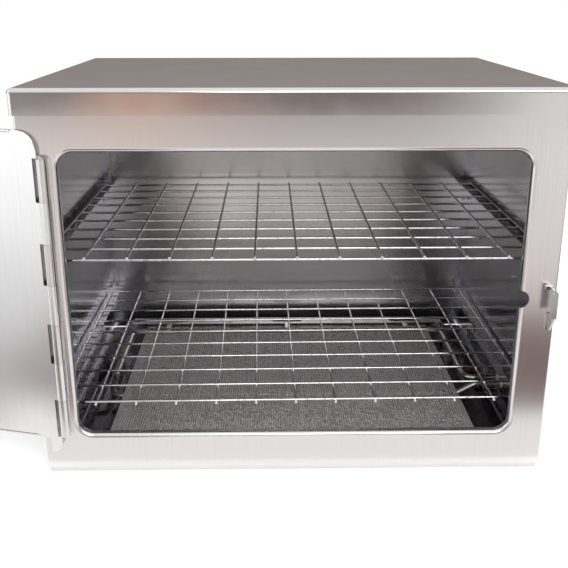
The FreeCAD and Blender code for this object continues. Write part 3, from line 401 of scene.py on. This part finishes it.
# The shelf grid, as in the part: spaces, their sizes, the wire and its ends past the front
WIRE = 0.0024
SPACES_WIDE, SPACES_DEEP = 12, 9
SPACE_WIDE, SPACE_DEEP = 0.0381, 0.0354
FRONT_STUB = 0.0020
LOWER_SKEW = math.radians(0.55)


def shelf_welds(node, skew):
    """A flattened nugget of metal where each pair of wires crosses."""
    low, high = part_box(node)
    turn = Matrix.Rotation(skew, 3, "Z")
    across = SPACES_WIDE * SPACE_WIDE / 2
    deep = SPACES_DEEP * SPACE_DEEP / 2
    centre = Vector(((low.x + high.x) / 2, (low.y + high.y) / 2 + (FRONT_STUB - WIRE / 2) / 2,
                     (low.z + high.z) / 2))
    ball = bmesh.new()
    bmesh.ops.create_icosphere(ball, subdivisions=2, radius=1.0)
    shape = [vert.co.copy() for vert in ball.verts]
    outline = [[vert.index for vert in face.verts] for face in ball.faces]
    ball.free()
    points, faces = [], []
    for row in range(SPACES_DEEP + 1):
        for column in range(SPACES_WIDE + 1):
            offset = Vector((across * (2 * column / SPACES_WIDE - 1),
                             deep * (2 * row / SPACES_DEEP - 1), 0))
            uneven = 1 + 0.12 * math.sin(7.3 * row + 4.1 * column)
            reach = WIRE * (0.66 if row else 0.74) * uneven
            size = Vector((reach, reach * 0.95, WIRE * 0.52))
            first = len(points)
            points += [centre + turn @ offset + turn @ Vector(
                [part * extent for part, extent in zip(point, size)]) for point in shape]
            faces += [[first + index for index in face] for face in outline]
    piece_from(node + "_welds", points, faces, node)


shelf_welds("upper_shelf", 0.0)
shelf_welds("lower_shelf", LOWER_SKEW)


# ---------------------------------------------------------------- marks on the controls

def letters(text, height):
    """Points and faces of a raised character, flat in its own X and Y."""
    curve = bpy.data.curves.new("letters", "FONT")
    curve.body, curve.size = text, height
    curve.align_x, curve.align_y = "CENTER", "CENTER"
    curve.extrude = 0.00006
    holder = bpy.data.objects.new("letters", curve)
    mesh = bpy.data.meshes.new_from_object(holder)
    shape = ([vert.co.copy() for vert in mesh.vertices],
             [list(face.vertices) for face in mesh.polygons])
    bpy.data.objects.remove(holder)
    bpy.data.meshes.remove(mesh)
    return shape


def on_side(centre, across, up, out):
    """A place on the control box's side, as its viewer's right, up and out."""
    return Vector((centre.x + out, centre.y + across, centre.z + up))


def add_shape(points, faces, places, new_faces):
    first = len(points)
    points.extend(places)
    faces.extend([first + index for index in face] for face in new_faces)


DIAL_NUMBERS = 7
NUMBER_STEP = math.radians(45)
TICKS_PER_NUMBER = 4


def dial():
    """Black dial plate round the thermostat's knob, with ticks and numbers 0 to 6."""
    low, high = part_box("thermostat_shaft")
    centre = Vector((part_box("control_box_cover")[1].x, (low.y + high.y) / 2,
                     (low.z + high.z) / 2))
    profile = ((0.0184, 0.0), (0.0184, 0.0003), (0.0187, 0.0005), (0.0293, 0.0005),
               (0.0296, 0.0003), (0.0296, 0.0))
    count = 120
    points, faces = [], []
    for step in range(count):
        angle = 2 * math.pi * step / count
        points += [on_side(centre, reach * math.sin(angle), reach * math.cos(angle), out)
                   for reach, out in profile]
        for edge in range(len(profile)):
            after, beyond = (edge + 1) % len(profile), (step + 1) % count
            faces.append((step * len(profile) + edge, step * len(profile) + after,
                          beyond * len(profile) + after, beyond * len(profile) + edge))
    piece_from("dial_plate", points, faces, "switch_housing", smooth=False)

    points, faces = [], []
    for step in range(TICKS_PER_NUMBER * (DIAL_NUMBERS - 1) + 1):
        angle = NUMBER_STEP * step / TICKS_PER_NUMBER
        far, half = (0.0208, 0.00022) if step % TICKS_PER_NUMBER else (0.0220, 0.00035)
        corners = [(reach, side) for reach in (0.0194, far) for side in (-half, half)]
        places = [on_side(centre, reach * math.sin(angle) + side * math.cos(angle),
                          reach * math.cos(angle) - side * math.sin(angle), out)
                  for out in (0.00045, 0.00058) for reach, side in corners]
        add_shape(points, faces, places,
                  [(4, 5, 7, 6), (0, 2, 3, 1), (0, 4, 6, 2), (1, 3, 7, 5), (0, 1, 5, 4),
                   (2, 6, 7, 3)])
    reach = 0.0256
    for number in range(DIAL_NUMBERS):
        angle = NUMBER_STEP * number
        shape, outline = letters(str(number), 0.0062)
        add_shape(points, faces,
                  [on_side(centre, reach * math.sin(angle) + point.x,
                           reach * math.cos(angle) + point.y, 0.00052 + point.z)
                   for point in shape], outline)
    piece_from("dial_marks", points, faces, "terminal_block", smooth=False)


def rocker_marks():
    """The usual circle and bar on the two halves of the rocker's shallow vee."""
    joint = next(joint for joint in frame["record"]["behaviour"]["joints"]
                 if joint["name"] == "switch_rock")
    pivot = Vector(joint["pos_m"])
    # As in the part: the rocker's tilt while off, its halves' slope, and its face and the dip
    # of its vee measured from the pivot. The marks stand at the rise, above and below.
    tilt, slope = math.radians(-8), math.atan2(1.2, 8.1)
    deep, dip, rise = 0.0050, 0.0006, 0.0044
    points, faces = [], []
    for text, side in (("O", 1), ("I", -1)):
        shape, outline = letters(text, 0.0042)
        turn = Matrix.Rotation(tilt + side * slope, 3, "Y")
        seat = Vector((deep - dip + rise * math.tan(slope), 0, side * rise))
        middle = Matrix.Rotation(tilt, 3, "Y") @ seat
        add_shape(points, faces, [pivot + middle + turn @ Vector((0.00004 + point.z, point.x,
                                                                  point.y))
                                  for point in shape], outline)
    piece_from("rocker_marks", points, faces, "terminal_block", smooth=False,
               rides_with="switch_rocker")


dial()
rocker_marks()


# ---------------------------------------------------------------- floor, light and camera

def studio_floor():
    mesh = bpy.data.meshes.new("studio_floor")
    reach = 30.0
    mesh.from_pydata([(-reach, -reach, 0), (reach, -reach, 0), (reach, reach, 0),
                      (-reach, reach, 0)], [], [(0, 1, 2, 3)])
    floor = bpy.data.objects.new("studio_floor", mesh)
    bpy.context.scene.collection.objects.link(floor)
    graph = Graph("studio_floor")
    graph.link(graph.blend(graph.noise(graph.place, 3.0), (0.90, 0.90, 0.90),
                           (0.88, 0.88, 0.88)), graph.shader.inputs["Base Color"])
    graph.shader.inputs["Roughness"].default_value = 0.9
    graph.shader.inputs["Specular IOR Level"].default_value = 0.1
    graph.shader.inputs["Emission Color"].default_value = (1.0, 1.0, 1.0, 1.0)
    graph.shader.inputs["Emission Strength"].default_value = 0.25
    dress(floor, graph.material)
    floor.location.z = -0.0002


def sky():
    """Even white above, with a darker band low down as in a room."""
    world = bpy.data.worlds.new("studio")
    bpy.context.scene.world = world
    world.use_nodes = True
    tree = world.node_tree
    background = tree.nodes["Background"]
    place = tree.nodes.new("ShaderNodeTexCoord")
    split = tree.nodes.new("ShaderNodeSeparateXYZ")
    ramp = tree.nodes.new("ShaderNodeValToRGB")
    tree.links.new(place.outputs["Generated"], split.inputs["Vector"])
    tree.links.new(split.outputs["Z"], ramp.inputs["Fac"])
    stops = ramp.color_ramp.elements
    stops[0].position, stops[0].color = 0.0, (0.20, 0.16, 0.14, 1)
    stops[1].position, stops[1].color = 0.22, (0.42, 0.40, 0.40, 1)
    for position, value in ((0.35, 0.75), (0.7, 1.0)):
        stop = stops.new(position)
        stop.color = (value, value, value, 1)
    path = tree.nodes.new("ShaderNodeLightPath")
    mix = tree.nodes.new("ShaderNodeMix")
    mix.data_type = "RGBA"
    tree.links.new(path.outputs["Is Camera Ray"], mix.inputs["Factor"])
    tree.links.new(ramp.outputs["Color"], mix.inputs[6])
    mix.inputs[7].default_value = (1, 1, 1, 1)
    tree.links.new(mix.outputs[2], background.inputs["Color"])
    background.inputs["Strength"].default_value = 1.0


def card_ramp(graph, value, span, stops):
    """A colour along a value that runs over a span."""
    low, high = span
    ramp = graph.add("ShaderNodeValToRGB")
    graph.link(graph.between(value, 0.0, 1.0, low, high), ramp.inputs["Fac"])
    points = ramp.color_ramp.elements
    while len(points) < len(stops):
        points.new(0.5)
    for point, (place, _) in zip(points, stops):
        point.position = (place - low) / (high - low)
    for point, (_, colour) in zip(points, stops):
        point.color = (*colour, 1.0)
    return ramp.outputs["Color"]


# The front's plane, and how far behind it the camera's mirror image stands
FACE_Y = front_low.y
EYE_BEHIND = 0.707


def reflection_card():
    """Studio card ahead of the cabinet, seen only in the steel: pale, with darker bands.

    The bands fan out from the camera's mirror image, so they fit the camera's own view best.
    """
    mesh = bpy.data.meshes.new("reflection_card")
    wide, near, far = 9.0, FACE_Y - 0.02, FACE_Y - 9.0
    mesh.from_pydata([(-wide, far, 0), (wide, far, 0), (wide, near, 0), (-wide, near, 0)], [],
                     [(0, 1, 2, 3)])
    card = bpy.data.objects.new("reflection_card", mesh)
    bpy.context.scene.collection.objects.link(card)
    graph = Graph("reflection_card")
    split = graph.add("ShaderNodeSeparateXYZ")
    graph.link(graph.place, split.inputs["Vector"])

    def calculate(operation, first, second):
        step = graph.add("ShaderNodeMath", operation=operation)
        for socket, value in zip(step.inputs, (first, second)):
            if isinstance(value, bpy.types.NodeSocket):
                graph.link(value, socket)
            else:
                socket.default_value = value
        return step.outputs[0]

    ahead = calculate("SUBTRACT", FACE_Y, split.outputs["Y"])
    sector = calculate("DIVIDE", split.outputs["X"], calculate("ADD", ahead, EYE_BEHIND))
    front = card_ramp(graph, ahead, (0.0, 2.6), [
        (0.00, (1.02, 1.00, 0.99)), (0.10, (1.02, 1.00, 0.99)), (0.14, (0.30, 0.25, 0.245)),
        (0.20, (0.21, 0.15, 0.14)), (0.40, (0.23, 0.165, 0.15)), (0.45, (0.78, 0.72, 0.70)),
        (0.75, (0.90, 0.84, 0.82)), (1.5, (0.84, 0.80, 0.79))])
    plain = card_ramp(graph, ahead, (0.0, 1.5), [
        (0.00, (1.02, 1.00, 0.99)), (0.50, (0.98, 0.94, 0.92)), (0.75, (0.90, 0.84, 0.82)),
        (1.5, (0.84, 0.80, 0.79))])
    aside = calculate("ABSOLUTE", sector, 0.0)
    header = card_ramp(graph, sector, (-0.4, 0.4), [
        (-0.32, (1.02, 1.01, 1.00)), (-0.20, (0.98, 0.84, 0.76)), (-0.05, (0.78, 0.73, 0.71)),
        (0.10, (0.74, 0.71, 0.71)), (0.20, (0.75, 0.74, 0.74)), (0.30, (0.97, 0.97, 0.97))])
    distant = card_ramp(graph, sector, (-0.4, 0.4), [
        (-0.30, (0.23, 0.22, 0.22)), (-0.24, (0.22, 0.19, 0.18)), (-0.19, (0.60, 0.34, 0.24)),
        (-0.14, (0.58, 0.38, 0.28)), (-0.08, (0.38, 0.24, 0.20)), (0.02, (0.18, 0.15, 0.135)),
        (0.16, (0.16, 0.115, 0.11)), (0.25, (0.48, 0.455, 0.45)), (0.32, (0.90, 0.88, 0.87))])
    left = card_ramp(graph, ahead, (-0.1, 1.2), [
        (-0.04, (1.02, 1.01, 1.00)), (-0.01, (0.98, 0.97, 0.96)), (0.03, (0.44, 0.44, 0.45)),
        (0.16, (0.50, 0.495, 0.50)), (0.26, (0.78, 0.78, 0.78)), (0.55, (0.98, 0.98, 0.98)),
        (0.9, (1.3, 1.3, 1.3))])
    colour = graph.blend(graph.between(aside, 0.0, 1.0, 0.14, 0.20), plain, front)
    colour = graph.blend(graph.between(ahead, 0.0, 1.0, 0.9, 1.5), colour, header)
    colour = graph.blend(graph.between(ahead, 0.0, 1.0, 2.3, 2.6), colour, distant)
    colour = graph.blend(graph.between(sector, 1.0, 0.0, -0.55, -0.42), colour, left)
    glow = graph.add("ShaderNodeEmission")
    graph.link(colour, glow.inputs["Color"])
    graph.link(glow.outputs["Emission"],
               graph.tree.nodes["Material Output"].inputs["Surface"])
    dress(card, graph.material)
    card.location.z = 0.0004
    for kind in ("camera", "diffuse", "shadow", "transmission"):
        setattr(card, "visible_" + kind, False)


def lamp(name, place, target, width, height, power):
    light = bpy.data.lights.new(name, "AREA")
    light.shape = "RECTANGLE"
    light.size, light.size_y = width, height
    light.energy = power
    thing = bpy.data.objects.new(name, light)
    thing.location = place
    thing.rotation_euler = (Vector(target) - Vector(place)).to_track_quat("-Z", "Y").to_euler()
    bpy.context.scene.collection.objects.link(thing)
    return thing


def camera():
    data = bpy.data.cameras.new("camera")
    data.lens = 53.62
    data.sensor_width = 36.0
    data.clip_start = 0.01
    data.clip_end = 200.0
    thing = bpy.data.objects.new("camera", data)
    thing.location = (-0.0224, -0.8884, 0.4270)
    thing.rotation_euler = (math.radians(90 - 18.70), 0, math.radians(-1.02))
    bpy.context.scene.collection.objects.link(thing)
    bpy.context.scene.camera = thing


studio_floor()
reflection_card()
sky()
lamp("top_light", (0.0, -0.2, 1.9), (0, 0, 0), 2.4, 2.4, 20).visible_glossy = False
lamp("front_light", (0.5, -2.4, 1.5), (0, 0, 0.15), 1.6, 1.2, 20)
lamp("left_light", (-2.0, -1.2, 0.9), (-0.2, 0, 0.2), 1.0, 1.6, 6)
camera()
bpy.context.scene.view_settings.view_transform = "Standard"
